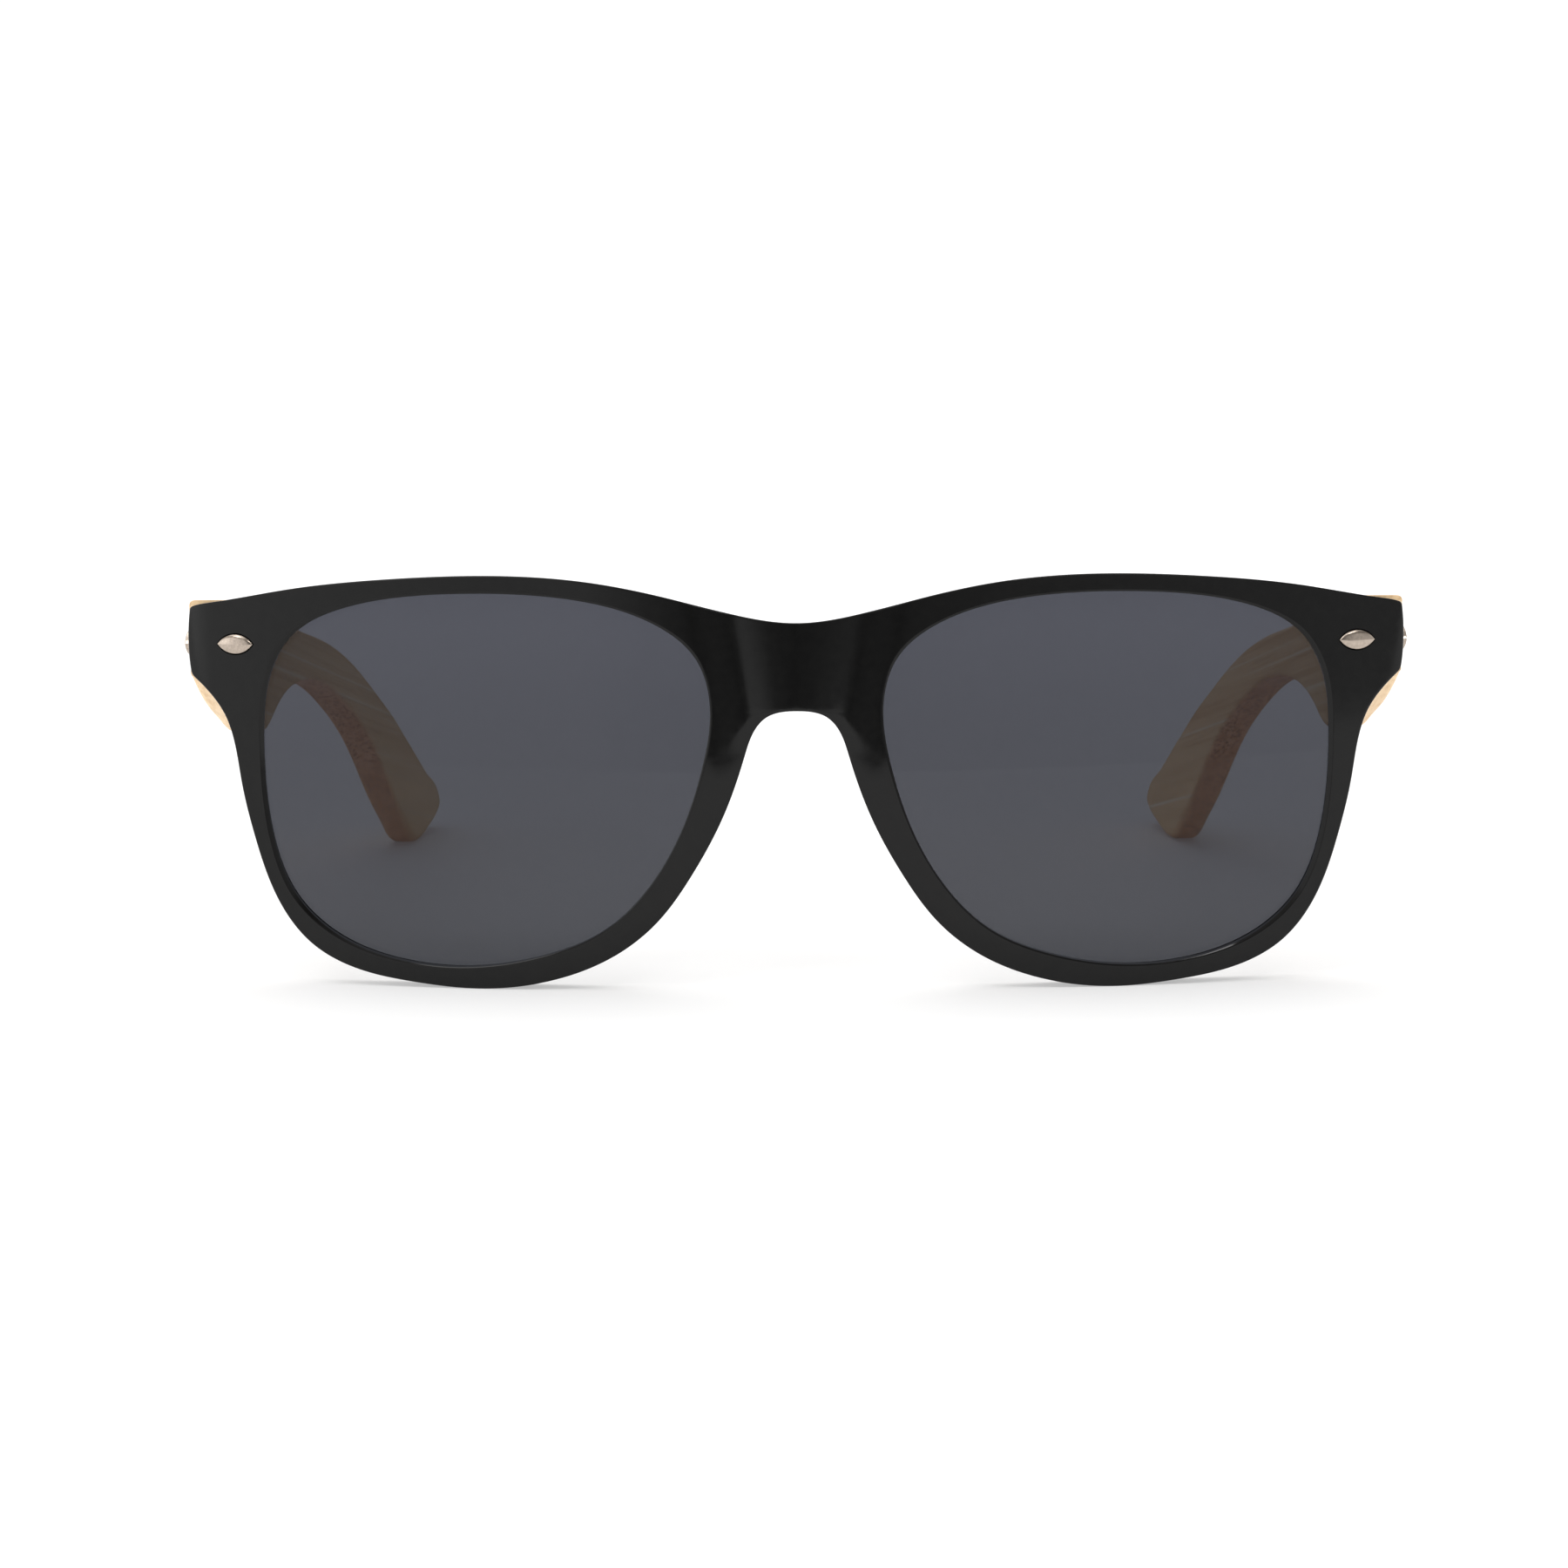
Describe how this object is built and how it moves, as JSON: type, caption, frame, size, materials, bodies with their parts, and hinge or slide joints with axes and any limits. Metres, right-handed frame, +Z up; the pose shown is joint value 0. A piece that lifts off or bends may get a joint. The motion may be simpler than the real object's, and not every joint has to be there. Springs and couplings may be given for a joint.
{
  "type": "sunglasses",
  "caption": "Sunglasses with a glossy black moulded front, tinted curved lenses, eye-shaped metal studs and flat bamboo temples that fold inwards on barrel hinges.",
  "frame": {"origin": "on the ground, under the middle of the open sunglasses' box", "axes": "+X to the wearer's left, +Y back along the open temples, +Z up"},
  "size_m": [0.148, 0.1492, 0.0489],
  "materials": {
    "black_plastic": "polished black injection-moulded plastic",
    "lens": "clear-through grey tint, polished",
    "bamboo": "sanded bamboo with straight grain, thin clear coat",
    "trim_metal": "polished nickel-coloured metal",
    "hinge_metal": "stamped hinge leaf, satin",
    "screw_metal": "small machine screw, satin"
  },
  "bodies": {
    "front": {"front_frame": "black_plastic", "right_lens": "lens", "left_lens": "lens", "right_front_trim": "trim_metal", "left_front_trim": "trim_metal", "right_front_hinge": "hinge_metal", "left_front_hinge": "hinge_metal", "right_hinge_screw": "screw_metal", "left_hinge_screw": "screw_metal"},
    "right_temple_arm": {"right_temple": "bamboo", "right_temple_trim": "trim_metal", "right_temple_hinge": "hinge_metal", "right_leaf_screw_front": "screw_metal", "right_leaf_screw_rear": "screw_metal"},
    "left_temple_arm": {"left_temple": "bamboo", "left_temple_trim": "trim_metal", "left_temple_hinge": "hinge_metal", "left_leaf_screw_front": "screw_metal", "left_leaf_screw_rear": "screw_metal"}
  },
  "joints": [
    {"name": "left_temple_fold", "type": "hinge", "parent": "front", "child": "left_temple_arm", "pos_m": [0.06682, -0.05874, 0.04065], "axis": [0, 0, 1], "range_deg": [0, 87]},
    {"name": "right_temple_fold", "type": "hinge", "parent": "front", "child": "right_temple_arm", "pos_m": [-0.06682, -0.05874, 0.04065], "axis": [0, 0, -1], "range_deg": [0, 82]}
  ]
}
